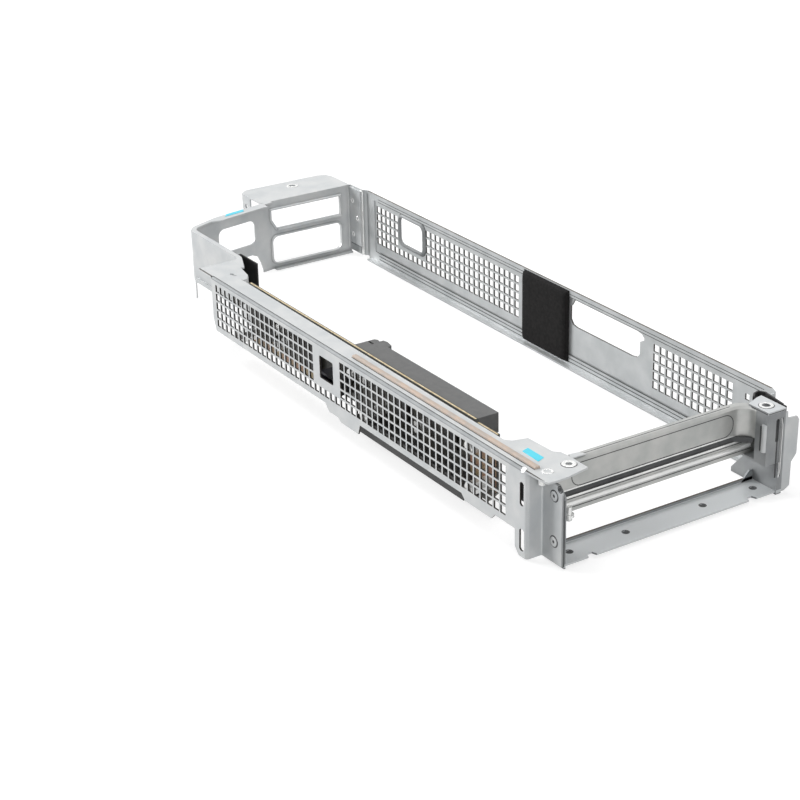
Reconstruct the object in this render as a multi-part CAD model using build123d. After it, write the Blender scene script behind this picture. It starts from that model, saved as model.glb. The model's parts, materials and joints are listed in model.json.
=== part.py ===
from build123d import *
import math
import os

os.makedirs("parts", exist_ok=True)

# Frame of the source: x runs from the rear window frame to the bracket plane,
# y runs from the riser side to the far side, z runs up from the bottom.
# Everything is moved once, at export, so that the origin is bottom centre.

# Sheet metal
sheet = 0.8
fold = 0.6
flange = 3.0

# Overall cage
cage_height = 38.0
cage_width = 127.5

# Perforation, shared by both side panels
hole_pitch = 4.4
hole_side = 3.5
rows = 5
riser_columns = 54
riser_blank_first = 22
riser_blank_last = 26
far_columns = 65
far_blank_first = 6
far_blank_last = 11
far_plain_first = 31
far_plain_last = 53

# Riser side panel
rear_margin = 3.5
front_margin = 13.1
top_margin = 2.6
bottom_margin = 2.4
rear_reach = 82.3
overhang = 13.0
top_flange = 9.2
step_depth = 8.1

# Riser board and its slot connector
board_offset = 11.3
board_thickness = 1.6
board_length = 202.0
board_front_gap = 35.4
board_clearance = 0.7
slot_length = 89.0
slot_height = 11.25
slot_width = 8.7
slot_from_bracket = 52.2
slot_pitch = 20.32
contact_pitch = 1.0

# Rear bracket
leg_y = 22.3
leg_drop = 26.5
window_frame_width = 50.0
window_to_far = 6.7
arm_length = 35.5
shelf_reach = 24.7
leg_flange = 2.5

# Far side panel: its rear end is joggled out round the bracket, its front end leans in
far_out = 2.0
far_in = 1.3
joggle_x0 = 11.8
joggle_x1 = 14.5
press = 0.5

# Front frame
mouth_depth = 12.8
post_from_far = 19.5
post_width = 9.5

# Derived positions
panel_length = rear_margin + riser_columns * hole_pitch + front_margin
cage_length = rear_reach + panel_length
panel_rear = rear_reach
panel_bottom = cage_height - top_margin - rows * hole_pitch - bottom_margin
far_inner = cage_width - sheet
post_y = cage_width - post_from_far
strip_y = cage_width - window_frame_width
mouth = cage_length + mouth_depth
top = cage_height
under_top = cage_height - sheet


def block(x0, x1, y0, y1, z0, z1):
    """Box given by its two corners."""
    return Pos((x0 + x1) / 2, (y0 + y1) / 2, (z0 + z1) / 2) * Box(x1 - x0, y1 - y0, z1 - z0)


def plate_xz(points, y, thickness=sheet, holes=()):
    """Flat plate standing along x, thickness towards +y, with cut outlines."""
    face = make_face(Polyline(*points, close=True))
    for hole in holes:
        face -= hole
    solid = extrude(face, thickness)
    return Pos(0, y, 0) * (Rot(90, 0, 0) * solid).moved(Location((0, thickness, 0)))


def along_x(face, x, length):
    """Solid pulled towards +x from a face drawn in y and z."""
    frame = Plane(origin=(x, 0, 0), x_dir=(0, 1, 0), z_dir=(1, 0, 0))
    return frame.location * extrude(face, length, dir=(0, 0, 1))


def plate_yz(points, x, thickness=sheet, holes=()):
    """Flat plate standing along y, thickness towards +x."""
    face = make_face(Polyline(*points, close=True))
    for hole in holes:
        face -= hole
    return along_x(face, x, thickness)


def plate_xy(points, z, thickness=sheet, holes=()):
    """Flat plate lying down, thickness towards +z."""
    face = make_face(Polyline(*points, close=True))
    for hole in holes:
        face -= hole
    return Pos(0, 0, z) * extrude(face, thickness)


def shift_left(points, distance):
    """Path moved sideways to its left by one distance, with mitred corners."""
    moved = []
    vectors = [Vector(p) for p in points]
    for i, point in enumerate(vectors):
        before = (point - vectors[i - 1]).normalized() if i > 0 else None
        after = (vectors[i + 1] - point).normalized() if i < len(vectors) - 1 else None
        if before is None:
            before = after
        if after is None:
            after = before
        n1 = Vector(-before.Y, before.X, 0)
        n2 = Vector(-after.Y, after.X, 0)
        mitre = (n1 + n2).normalized()
        moved.append(point + mitre * (distance / mitre.dot(n1)))
    return moved


def bent_line(points, radii):
    """Line through the points with the given radius at each inner one, or a sharp corner for none."""
    edges = []
    start = points[0]
    for i, radius in enumerate(radii):
        corner = points[i + 1]
        if radius <= 0:
            edges.append(Line(start, corner).edge())
            start = corner
            continue
        back = (start - corner).normalized()
        ahead = (points[i + 2] - corner).normalized()
        half = math.radians(back.get_angle(ahead)) / 2
        reach = radius / math.tan(half)
        first = corner + back * reach
        last = corner + ahead * reach
        edges.append(Line(start, first).edge())
        middle = corner + (back + ahead).normalized() * (radius / math.sin(half) - radius)
        edges.append(ThreePointArc(first, middle, last).edge())
        start = last
    edges.append(Line(start, points[-1]).edge())
    return edges


def strip_face(points, radii, thickness=sheet):
    """Face of a folded strip: the path is its outer side, the sheet lies on the left.
    radii holds the inside bend radius of every inner corner of the path."""
    vectors = [Vector(p) for p in points]
    near = []
    far = []
    for i in range(1, len(vectors) - 1):
        a = vectors[i] - vectors[i - 1]
        b = vectors[i + 1] - vectors[i]
        turns_left = a.X * b.Y - a.Y * b.X > 0
        inside = radii[i - 1]
        near.append(0 if inside <= 0 else inside + thickness if turns_left else inside)
        far.append(0 if inside <= 0 else inside if turns_left else inside + thickness)
    other = shift_left(points, thickness)
    first = bent_line(vectors, near)
    second = bent_line(other, far)
    start = Line(vectors[0], other[0])
    end = Line(vectors[-1], other[-1])
    return make_face([*first, *second, start.edge(), end.edge()])


def rounded(x0, x1, z0, z1, radius):
    """Rounded rectangle outline as a face, given by its sides."""
    return Pos((x0 + x1) / 2, (z0 + z1) / 2) * RectangleRounded(x1 - x0, z1 - z0, radius)


def clipped(x0, x1, z0, z1, corner):
    """Small slot with its corners cut at 45 degrees, given by its sides."""
    return make_face(
        Polyline(
            (x0 + corner, z0),
            (x1 - corner, z0),
            (x1, z0 + corner),
            (x1, z1 - corner),
            (x1 - corner, z1),
            (x0 + corner, z1),
            (x0, z1 - corner),
            (x0, z0 + corner),
            close=True,
        )
    )


def grid_holes(x0, z_top, columns):
    """One square hole for every (column, row) pair, counted from 1."""
    squares = []
    for column, row in columns:
        cx = x0 + (column - 0.5) * hole_pitch
        cz = z_top - (row - 0.5) * hole_pitch
        squares.append(Pos(cx, cz) * Rectangle(hole_side, hole_side))
    return squares


def save(solid, name):
    """Move a finished node to the shared frame and write its file."""
    placed = solid.moved(Location((-centre_x, -centre_y, 0)))
    placed.label = name
    export_step(placed, "parts/" + name + ".step")
    volume = sum(s.volume for s in placed.solids())
    print(name, len(placed.solids()), "solids", round(volume, 1), "mm3")
    return placed


# Bounds along x are the shelf's rear edge and the mouth, along y the two panels' outer faces
rear_end = -shelf_reach
centre_x = (rear_end + mouth) / 2
centre_y = (far_inner + far_out + press + sheet) / 2

# Riser side panel, a perforated wall folded over at the top
field_x = panel_rear + rear_margin
field_top = cage_height - top_margin
pairs = [
    (c, r)
    for c in range(1, riser_columns + 1)
    for r in range(1, rows + 1)
    if r == rows or not riser_blank_first <= c <= riser_blank_last
]
riser_holes = grid_holes(field_x, field_top, pairs)
blank_x0 = field_x + (riser_blank_first - 1) * hole_pitch
blank_x1 = field_x + riser_blank_last * hole_pitch
window_x0 = blank_x0 + 1.2 * hole_pitch
window_x1 = blank_x1 - 1.2 * hole_pitch
riser_window = clipped(window_x0, window_x1, field_top - 3.1 * hole_pitch, field_top - 0.7 * hole_pitch, 0.5)
front_slot = clipped(cage_length - 4.4, cage_length - 1.9, 22.4, 32.4, 0.7)
tab_slot = clipped(cage_length - 4.6, cage_length - 1.6, 3.2, 12.6, 0.8)
lug_a = blank_x1 - 10.0
lug_b = blank_x1 + 16.0
lug_c = cage_length - 41.0
lug_d = cage_length - 23.2
tab_x = cage_length - 7.6
wall_outline = [
    (panel_rear + 2.2, panel_bottom),
    (lug_a - 3.0, panel_bottom),
    (lug_a, panel_bottom - 3.2),
    (lug_a + 8.0, panel_bottom - 3.2),
    (lug_a + 10.0, panel_bottom - 4.7),
    (lug_b - 1.5, panel_bottom - 4.7),
    (lug_b, panel_bottom),
    (lug_c - 2.5, panel_bottom),
    (lug_c, panel_bottom - 2.5),
    (lug_d, panel_bottom - 2.5),
    (lug_d + 2.5, panel_bottom),
    (tab_x, panel_bottom),
    (tab_x, 3.6),
    (tab_x + 2.6, 0.6),
    (cage_length - fold - sheet, 0.6),
    (cage_length - fold - sheet, top - fold - sheet),
    (panel_rear, top - fold - sheet),
    (panel_rear, panel_bottom + 6.0),
]
wall = plate_xz(wall_outline, 0, sheet, riser_holes + [riser_window, front_slot, tab_slot])

# The fold along the top is a section in y and z, pulled along the panel
fold_out = fold + sheet
top_section = strip_face([(fold_out + 0.01, top), (0, top), (0, top - fold_out - 0.01)], [fold])
fold_length = cage_length - fold_out - panel_rear
top_fold = along_x(top_section, panel_rear, fold_length)

# Top plate: overhang at the rear, narrow flange, corner plate over the mouth
top_outline = [
    (panel_rear - overhang, 0),
    (panel_rear, 0),
    (panel_rear, fold_out),
    (cage_length - fold_out, fold_out),
    (cage_length - fold_out, 0),
    (cage_length + 7.5, 0.3),
    (cage_length + 11.8, 1.2),
    (cage_length + 12.2, 4.9),
    (cage_length + 12.0, 9.8),
    (cage_length + 9.9, 20.9),
    (cage_length - 1.9, 21.0),
    (cage_length - 6.3, 20.4),
    (cage_length - 8.4, 18.3),
    (cage_length - 23.4, 17.6),
    (cage_length - 25.1, 11.3),
    (cage_length - 27.6, top_flange),
    (panel_rear + 11.0, top_flange + 0.6),
    (panel_rear + 13.6, 10.2),
    (panel_rear + 13.0, 12.2),
    (panel_rear + 8.6, 15.2),
    (panel_rear + 1.0, 16.6),
    (panel_rear - 3.0, 17.6),
    (panel_rear - overhang - 1.0, leg_y - 0.2),
]
boss_x = cage_length + 3.7
boss_y = 16.7
boss_hole = 1.3
rear_slot = Pos(panel_rear + 4.4, 9.6) * Rot(0, 0, 8) * clipped(-2.2, 2.2, -0.75, 0.75, 0.4)
top_plate = plate_xy(
    top_outline, under_top, sheet, [rear_slot, Pos(boss_x, boss_y) * Circle(boss_hole)]
)

# Front: the wall steps in towards the mouth and ends in a riveted flange
front_section = strip_face(
    [
        (cage_length - fold_out - 0.01, 0),
        (cage_length, 0),
        (cage_length, step_depth - sheet),
        (mouth - 0.8, step_depth - sheet),
    ],
    [fold, fold],
)
front_step = Pos(0, 0, 0.6) * extrude(front_section, under_top - 0.6, dir=(0, 0, 1))
front_step -= block(cage_length + 2.4, mouth, 0, step_depth, top - 4.0, top)
front_step -= block(mouth - 3.4, mouth, 0, step_depth, top - 6.0, top)
riser_side_panel = wall + top_fold + top_plate + front_step

# Rear bracket: one folded strip in plan, from the far side round to the leg
leg_end = panel_rear + 8.0
leg_bottom = top - leg_drop
arm_y = strip_y - arm_length
bracket_path = [
    (11.8, far_inner),
    (-sheet, far_inner),
    (-sheet, strip_y),
    (0.2, strip_y - 4.5),
    (6.0, arm_y),
    (14.0, leg_y),
    (panel_rear - 16.0, leg_y),
    (panel_rear - 2.5, leg_y - 5.8),
    (leg_end, leg_y - 7.4),
]
bracket_bends = [fold, 4.0, 4.0, 20.0, 6.0, 5.0, 5.0]
bracket = extrude(strip_face(bracket_path, bracket_bends), under_top, dir=(0, 0, 1))
lip_face = strip_face(bracket_path[2:-1], bracket_bends[2:-1], leg_flange)
arm_face = make_face(
    Polyline(
        (1.0, strip_y - 5.0),
        (3.0, strip_y - 17.5),
        (6.6, arm_y + 0.6),
        (8.6, arm_y - 5.0),
        (10.6, arm_y - 5.4),
        (12.1, arm_y + 0.8),
        (9.2, strip_y - 20.9),
        (6.8, strip_y - 7.9),
        (6.6, strip_y - 5.0),
        close=True,
    )
)
lip = Pos(0, 0, under_top) * extrude(lip_face + arm_face, sheet, dir=(0, 0, 1)) - top_plate
arch = [
    (-10.0, -1.0),
    (strip_y - 6.5, -1.0),
    (strip_y - 6.5, 1.2),
    (strip_y - 7.9, 5.8),
    (strip_y - 10.0, 10.0),
    (strip_y - 13.5, leg_bottom),
    (-10.0, leg_bottom),
]
arm_window = rounded(arm_y + 1.0, strip_y - 11.0, 17.6, 30.6, 3.5)
window_y1 = far_inner - window_to_far
window_low = 22.6
window_top = top - 4.8
upper_window = make_face(
    Polyline(
        (strip_y, window_top),
        (strip_y, 28.0),
        (strip_y + 3.2, window_low),
        (window_y1, window_low),
        (window_y1, window_top),
        close=True,
    )
)
lower_window = rounded(strip_y + 0.2, window_y1 + 0.2, 3.2, 18.4, 3.5)
cutters = [make_face(Polyline(*arch, close=True)), arm_window, upper_window, lower_window]
for cutter in cutters:
    bracket -= along_x(cutter, -5.0, 19.0)
bracket -= block(13.0, leg_end + 1, leg_y - 12, leg_y + 2, -1, leg_bottom)
bracket -= block(0.6, 13.0, far_inner - 2, far_inner + 1, -1, 6.0)
shelf_outline = [
    (0, strip_y - 5.5),
    (0, far_inner),
    (-sheet - 17.0, far_inner),
    (rear_end + 1.6, far_inner - 1.6),
    (rear_end, far_inner - 6.0),
    (rear_end, strip_y - 1.3),
    (rear_end + 3.6, strip_y - 5.5),
]
shelf = plate_xy(shelf_outline, under_top, sheet, [Pos(-16.5, strip_y + 23.0) * Circle(1.8)])
tab = plate_xz(
    [(-20.8, under_top), (-12.2, under_top), (-12.2, 30.5), (-13.7, 28.5), (-19.3, 28.5), (-20.8, 30.5)],
    strip_y - 5.5,
    sheet,
    [Pos(-16.6, 32.0) * Circle(1.2)],
)
window_ledge = block(-sheet, 2.2, strip_y + 3.2, window_y1, window_low - sheet, window_low)
bottom_lip = block(-sheet, 3.0, strip_y + 0.8, far_inner - sheet, 0, sheet)
leg_hem = block(20.0, panel_rear - 18.0, leg_y - sheet, leg_y, leg_bottom, leg_bottom + 2.2)
rear_bracket = bracket + lip + shelf + tab + window_ledge + bottom_lip + leg_hem

# Far side panel: a wall with a shallow pressed field that holds the holes
far_x = 23.1
far_end = cage_length - 2.5
far_end_y = far_inner - far_in
far_field_top = top - 5.9
far_drop = far_out + far_in
lean = -math.degrees(math.atan2(far_drop, far_end - joggle_x1))


def on_far_wall(solid):
    """Turn a solid that was drawn on a straight wall so that it follows the leaning one."""
    return Pos(joggle_x1, far_inner + far_out, 0) * Rot(0, 0, lean) * Pos(-joggle_x1, -far_inner, 0) * solid


press_x0 = far_x - 1.2
press_x1 = far_x + far_columns * hole_pitch + 1.0
press_z0 = far_field_top - rows * hole_pitch - 4.5
press_z1 = far_field_top + 2.3
far_pairs = [
    (c, r)
    for c in range(1, far_columns + 1)
    for r in range(1, rows + 1)
    if not far_plain_first <= c <= far_plain_last
    and (r == rows or not far_blank_first <= c <= far_blank_last)
]
far_holes = grid_holes(far_x, far_field_top, far_pairs)
rim_x0 = far_x + 24.1
rim_x1 = far_x + 47.4
left_window = rounded(rim_x0, rim_x1, 17.8, 33.0, 3.5)
pad_x0 = far_x + 136.8
pad_x1 = far_x + 172.7
right_window = make_face(
    Polyline(
        (pad_x1 + 0.6, 30.0),
        (pad_x1 + 1.6, 31.0),
        (pad_x1 + 3.6, 34.2),
        (pad_x1 + 48.6, 34.2),
        (pad_x1 + 52.6, 33.4),
        (pad_x1 + 54.4, 32.0),
        (pad_x1 + 54.4, 31.0),
        (pad_x1 + 51.6, 29.4),
        (pad_x1 + 51.6, 23.4),
        (pad_x1 + 49.8, 21.4),
        (pad_x1 + 46.0, 20.8),
        (pad_x1 + 5.4, 20.8),
        (pad_x1 + 2.4, 21.4),
        (pad_x1 + 0.6, 23.6),
        close=True,
    )
)
square_x = press_x1 + 7.0
square = Pos(square_x + 1.2, 29.0) * Rectangle(2.6, 2.8)
far_outline = [(joggle_x1 + 1.0, 0), (far_end, 0), (far_end, top - 1.0), (far_end - 2.0, top), (joggle_x1 + 1.0, top)]
far_wall = plate_xz(far_outline, far_inner, sheet, [square])
far_wall -= block(press_x0, press_x1, far_inner - 1, cage_width + 1, press_z0, press_z1)
pressed = plate_xz(
    [
        (press_x0 - sheet, press_z0 - sheet),
        (press_x1 + sheet, press_z0 - sheet),
        (press_x1 + sheet, press_z1 + sheet),
        (press_x0 - sheet, press_z1 + sheet),
    ],
    far_inner + press,
    sheet,
    far_holes + [left_window, right_window],
)
far_lip = block(18.0, far_end - 2.0, far_inner - flange, cage_width, 0, sheet)
slope_y = far_inner + far_out - 3.0 * math.tan(math.radians(-lean))
joggle_path = [(0, far_inner), (joggle_x0, far_inner), (joggle_x1, far_inner + far_out), (joggle_x1 + 3.0, slope_y)]
joggle = Pos(0, 0, 1.2) * extrude(strip_face(joggle_path, [fold, fold]), top - 1.2, dir=(0, 0, 1))
far_turn = block(far_end - sheet, far_end, far_end_y - 4.9, far_end_y + 0.2, sheet, top - 1.6)
far_side_panel = on_far_wall(far_wall + pressed + far_lip) + joggle + far_turn

# Front frame: one folded sheet with a left cheek, a sill and a boxed right post
cheek_y = step_depth
cheek = plate_xz(
    [
        (cage_length - 6.0, 0),
        (mouth, 0),
        (mouth, top - 8.0),
        (mouth - 3.5, top - 4.2),
        (cage_length - 6.0, top - 4.2),
    ],
    cheek_y,
)
post_low_y = post_y + 6.7
sill_y1 = post_low_y + sheet
sill_notch = 2.2
sill_edge = mouth - 0.4
sill_z = 0.8
sill_outline = [
    (cage_length - 1.7, cheek_y),
    (sill_edge, cheek_y),
    (sill_edge, cheek_y + 12.0),
    (sill_edge - sill_notch, cheek_y + 12.8),
    (sill_edge - sill_notch, cheek_y + 15.2),
    (sill_edge, cheek_y + 16.0),
    (sill_edge, post_y - 7.2),
    (sill_edge - sill_notch, post_y - 6.4),
    (sill_edge - sill_notch, post_y - 4.0),
    (sill_edge, post_y - 3.2),
    (sill_edge, sill_y1),
    (cage_length - 1.7, sill_y1),
]
sill_holes = [
    Pos(cage_length + 5.3, y) * RegularPolygon(1.2, 12)
    for y in (cheek_y + 8.2, cheek_y + 35.6, cheek_y + 74.6, post_y + 1.2)
]
sill = plate_xy(sill_outline, sill_z, sheet, sill_holes)
sill_lip = block(cage_length - 1.7, cage_length - 1.7 + sheet, cheek_y, post_low_y, sill_z, sill_z + 2.2)
bar_radius = 6.0
wall_start = cage_length + bar_radius
post_step = 15.2
post_wall = block(wall_start, mouth, post_y, post_y + sheet, post_step - sheet, under_top)
post_floor = block(cage_length, mouth, post_y, post_low_y + sheet, post_step - sheet, post_step)
post_low_wall = plate_xz(
    [
        (cage_length - 14.0, 0),
        (mouth, 0),
        (mouth, post_step),
        (cage_length, post_step),
        (cage_length - 5.0, 12.0),
        (cage_length - 14.0, 2.0),
    ],
    post_low_y,
)
post_out = post_y + post_width
slit = [clipped(post_out - 4.9, post_out - 3.2, 24.0, 34.0, 0.5)]
post_front = plate_yz(
    [
        (post_y, post_step - sheet),
        (post_low_y, post_step - sheet),
        (post_low_y, 0),
        (post_out, 0),
        (post_out, under_top),
        (post_y, under_top),
    ],
    mouth - sheet,
    sheet,
    slit,
)
post_side = block(far_end, mouth, post_out - sheet, post_out, 0, under_top)
post_web = block(far_end, far_end + sheet, post_out - sheet, far_end_y, sheet, top - 3.0)
post_top = plate_xy(
    [
        (cage_length + 1.4, post_y),
        (mouth, post_y),
        (mouth, post_out),
        (cage_length - 1.7, post_out),
        (cage_length - 1.2, post_y + 6.5),
    ],
    under_top,
    sheet,
    [Pos(cage_length + 6.8, post_y + 4.4) * Circle(1.7)],
)
front_frame = cheek + sill + sill_lip + post_wall + post_floor + post_low_wall
front_frame += post_front + post_side + post_web + post_top

# Crossbar: covers the upper card opening, one section pulled across and round a bend
bar_top = under_top
groove_top = 24.4
groove_low = 22.0
groove_back = cage_length - 5.0
bar_low = post_step
bar_y0 = cheek_y + sheet
bar_y1 = post_y - bar_radius
bar_fold = 0.9
face_path = [
    (cage_length, groove_top),
    (cage_length, bar_top - bar_fold),
    (cage_length - bar_fold, bar_top),
    (cage_length - 3.7, bar_top),
]
rail_path = [(cage_length, bar_low), (cage_length, groove_low), (groove_back, groove_low)]
web_path = [(groove_back, groove_low), (groove_back, groove_top), (cage_length, groove_top)]


def pull_bar(section, y0, y1):
    """Pull a section drawn in x and z across the mouth from y0 to y1."""
    return extrude(Pos(0, y1, 0) * Rot(90, 0, 0) * section, y1 - y0, dir=(0, -1, 0))


face_section = strip_face(face_path, [0, 0])
rail_section = strip_face(rail_path, [0])
bar_section = strip_face(rail_path + web_path[1:] + face_path[1:], [0, 0, 0, 0, 0, 0])
bar_straight = pull_bar(bar_section, bar_y0, bar_y1)
rail_end = pull_bar(rail_section, bar_y1, post_low_y)
bar_axis = Axis((cage_length + bar_radius, bar_y1, 0), (0, 0, 1))
bar_bend = revolve(Pos(0, bar_y1, 0) * Rot(90, 0, 0) * face_section, bar_axis, -90)
front_crossbar = bar_straight + rail_end + bar_bend

# Outer flange at the far side of the mouth, and a contact spring on the post
flange_y = post_out
outer_side = block(cage_length - 1.0, mouth, flange_y, flange_y + sheet, 1.0, top - 2.0)
outer_front = plate_yz(
    [
        (flange_y, 0.8),
        (flange_y + 1.6, 0.8),
        (flange_y + 4.4, 2.4),
        (flange_y + 4.6, 12.8),
        (flange_y + 7.2, 16.0),
        (flange_y + 7.4, 31.0),
        (flange_y + 6.4, 32.6),
        (flange_y + 1.4, 33.0),
        (flange_y + 1.2, top - 2.0),
        (flange_y, top - 2.0),
    ],
    mouth - sheet,
)
outer_flange = outer_side + outer_front
post_trim = block(cage_length - 1.0, mouth - 1.0, flange_y, flange_y + 1.2, top - 2.0, top)
spring_path = [
    (mouth, 34.0),
    (mouth + 0.9, 31.5),
    (mouth + 0.9, 11.0),
    (mouth, 8.0),
]
spring_face = make_face(
    Polyline(*[(x, z) for x, z in spring_path], close=True)
)
contact_spring = Pos(0, post_out - 1.4, 0) * Rot(90, 0, 0) * extrude(spring_face, 1.6)

# Riser board standing behind the perforated wall
board_y0 = board_offset
board_y1 = board_offset + board_thickness
board_x1 = cage_length - board_front_gap
board_x0 = board_x1 - board_length
board_top = top - board_clearance
board_low = 4.8
board_step = 14.0
board_outline = [
    (board_x0, board_low + 6.0),
    (board_x0 + 96.0, board_low + 6.0),
    (board_x0 + 99.0, board_low),
    (board_x1 - 6.0, board_low),
    (board_x1, board_low + 6.0),
    (board_x1, board_top - 1.0),
    (board_x1 - board_step, board_top - 1.0),
    (board_x1 - board_step - 1.0, board_top),
    (board_x0, board_top),
]
riser_board = plate_xz(board_outline, board_y0, board_thickness)

# Two card connectors one slot pitch apart, the upper one with a retention latch
slot_x1 = cage_length - slot_from_bracket
slot_x0 = slot_x1 - slot_length
slot_top = board_top - 1.0
key_x = slot_x1 - 13.6


def slot_connector(z_top):
    """Card edge connector lying on the board, its groove open towards +y."""
    z_mid = z_top - slot_width / 2
    body = block(slot_x0, slot_x1, board_y1, board_y1 + slot_height, z_top - slot_width, z_top)
    groove_y = board_y1 + slot_height - 7.6
    body -= block(slot_x0 + 2.0, key_x - 0.95, groove_y, board_y1 + 30, z_mid - 1.0, z_mid + 1.0)
    body -= block(key_x + 0.95, slot_x1 - 2.0, groove_y, board_y1 + 30, z_mid - 1.0, z_mid + 1.0)
    return body


upper_connector = slot_connector(slot_top)
lower_connector = slot_connector(slot_top - slot_pitch)
slot_face = board_y1 + slot_height
latch_outline = [
    (slot_x0, board_y1),
    (slot_x0, slot_face),
    (slot_x0 + 6.2, slot_face),
    (slot_x0 + 5.6, slot_face + 2.2),
    (slot_x0 + 1.2, slot_face + 3.0),
    (slot_x0 - 1.2, slot_face + 2.4),
    (slot_x0 - 1.4, slot_face + 0.4),
    (slot_x0 - 3.2, slot_face + 0.9),
    (slot_x0 - 4.8, slot_face),
    (slot_x0 - 4.8, board_y1),
]
latch_slit = Pos(slot_x0 - 2.4, board_y1 + 8.0) * Rectangle(3.6, 1.1)
slot_latch = plate_xy(latch_outline, slot_top - slot_width, slot_width, [latch_slit])

# Gold contacts in the upper groove, on both of its long walls, every fourth one
contact_y0 = slot_face - 6.4
contact_step = 4 * contact_pitch
contact_count = int((key_x - slot_x0 - 6.0) / contact_step)
contact_z = slot_top - slot_width / 2
contacts = []
for i in range(contact_count):
    cx = slot_x0 + 3.5 + contact_step * i
    for side in (-1, 1):
        z = contact_z + side * 0.85
        contacts.append(block(cx - 0.3, cx + 0.3, contact_y0, slot_face - 0.8, z - 0.15, z + 0.15))
slot_contacts = Compound(children=contacts)

# Parts on the side of the board that faces the perforated wall
host_x0 = board_x0 + 109.0
host_x1 = board_x1 - 12.0
host_connector = block(host_x0, host_x1, 3.6, board_y0, board_low, 12.4)
board_chips = Compound(
    children=[
        block(board_x0 + dx, board_x0 + dx + w, board_y0 - t, board_y0, z, z + h)
        for dx, w, z, h, t in [
            (12.0, 14.0, 16.0, 14.0, 1.6),
            (50.0, 17.0, 15.0, 17.0, 2.2),
            (128.0, 12.0, 17.0, 12.0, 1.6),
            (166.0, 9.0, 19.0, 9.0, 1.4),
        ]
    ]
)
power_header = block(board_x0 + 78.0, board_x0 + 92.0, board_y0 - 7.6, board_y0, 14.0, 22.0)
power_header -= block(board_x0 + 79.2, board_x0 + 90.8, board_y0 - 8.6, board_y0 - 2.0, 15.2, 20.8)
cans = [(34.0, 18.0), (34.0, 26.0), (42.0, 22.0), (100.0, 27.0), (110.0, 27.0), (152.0, 22.0)]
board_capacitors = Compound(
    children=[
        Pos(board_x0 + dx, board_y0, z) * Rot(90, 0, 0) * extrude(RegularPolygon(2.6, 10), 5.4)
        for dx, z in cans
    ]
)
chokes = [(21.0, 12.4), (26.0, 12.4), (61.0, 33.0), (142.0, 30.0), (147.0, 30.0)]
board_resistors = Compound(
    children=[
        block(board_x0 + dx, board_x0 + dx + 3.2, board_y0 - 1.0, board_y0, z, z + 1.6)
        for dx, z in chokes
    ]
)

# Standoffs from the perforated wall to the board, with screws on the far face
posts = [(6.0, 33.0), (6.0, 14.0), (118.5, 15.8), (board_length - 4.6, 32.0), (board_length - 4.6, 14.0)]
board_standoffs = Compound(
    children=[
        Pos(board_x0 + dx, board_y0, z) * Rot(90, 0, 0) * extrude(RegularPolygon(2.9, 6), board_y0 - sheet)
        for dx, z in posts
    ]
)
screw_posts = [p for p in posts if not 8 < p[0] < board_length - 8]
board_screws = Compound(
    children=[
        Pos(board_x0 + dx, board_y1, z) * Rot(-90, 0, 0) * extrude(RegularPolygon(2.6, 12), 1.6)
        for dx, z in screw_posts
    ]
)

# Soft and plain parts
foam_pad = on_far_wall(block(pad_x0, pad_x1, far_inner - 2.6, far_inner, 1.6, top - 0.6))
gasket_x0 = cage_length - 131.0
gasket_strip = block(gasket_x0, cage_length + 0.3, 3.7, 7.0, top, top + 1.0)
insulator_x0 = panel_rear - 21.4
insulator_x1 = panel_rear - 4.4
insulator_y = leg_y + 4.8
insulator_sheet = plate_xz(
    [
        (insulator_x0, 14.0),
        (insulator_x1, 14.0),
        (insulator_x1, under_top),
        (insulator_x0, under_top),
    ],
    insulator_y,
    0.6,
) + block(insulator_x0, insulator_x0 + 0.6, leg_y + sheet, insulator_y, 14.0, under_top)

label_thickness = 0.15
front_label = plate_xy(
    [
        (cage_length - 15.2, 8.9),
        (cage_length - 4.6, 8.6),
        (cage_length - 6.0, 12.3),
        (cage_length - 16.2, 12.3),
    ],
    top,
    label_thickness,
)
rear_label = plate_xy(
    [(5.0, arm_y + 7.0), (8.0, arm_y + 4.6), (6.2, arm_y + 16.6), (3.2, arm_y + 17.6)], top, label_thickness
)


def rivet_row(places, x_or_y, radius=2.0, height=0.5):
    """Flat rivet heads on a wall that faces -y, one for each (x, z)."""
    return Compound(
        children=[
            Pos(x, x_or_y, z) * Rot(90, 0, 0) * extrude(RegularPolygon(radius, 12), height)
            for x, z in places
        ]
    )


front_rivets = rivet_row([(cage_length + 7.4, 28.9), (cage_length + 7.4, 9.7)], step_depth - sheet)
rear_rivets = rivet_row([(3.8, 30.1), (8.4, 21.0), (3.8, 11.1)], far_inner - sheet, 1.6)
locating_peg = Pos(cage_length + 2.0, 5.6, under_top - 5.0) * extrude(RegularPolygon(1.6, 16), 5.0)
boss_insert = Pos(boss_x, boss_y, under_top - 2.4) * extrude(
    RegularPolygon(2.4, 16) - Circle(boss_hole), 2.4
)
stud = Pos(cage_length, cheek_y + sheet + 9.8, bar_low + 2.2) * Rot(0, 90, 0) * extrude(
    RegularPolygon(1.5, 16), 1.4
)

save(riser_side_panel, "riser_side_panel")
save(rear_bracket, "rear_bracket")
save(far_side_panel, "far_side_panel")
save(front_frame, "front_frame")
save(front_crossbar, "front_crossbar")
save(outer_flange, "outer_flange")
save(contact_spring, "contact_spring")
save(post_trim, "post_trim")
save(riser_board, "riser_board")
save(upper_connector, "slot_connector_upper")
save(lower_connector, "slot_connector_lower")
save(slot_latch, "slot_latch")
save(slot_contacts, "slot_contacts")
save(host_connector, "host_connector")
save(power_header, "power_header")
save(board_chips, "board_chips")
save(board_capacitors, "board_capacitors")
save(board_resistors, "board_resistors")
save(board_standoffs, "board_standoffs")
save(board_screws, "board_screws")
save(foam_pad, "foam_pad")
save(gasket_strip, "gasket_strip")
save(insulator_sheet, "insulator_sheet")
save(front_label, "front_label")
save(rear_label, "rear_label")
save(front_rivets, "front_rivets")
save(rear_rivets, "rear_rivets")
save(locating_peg, "locating_peg")
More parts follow.
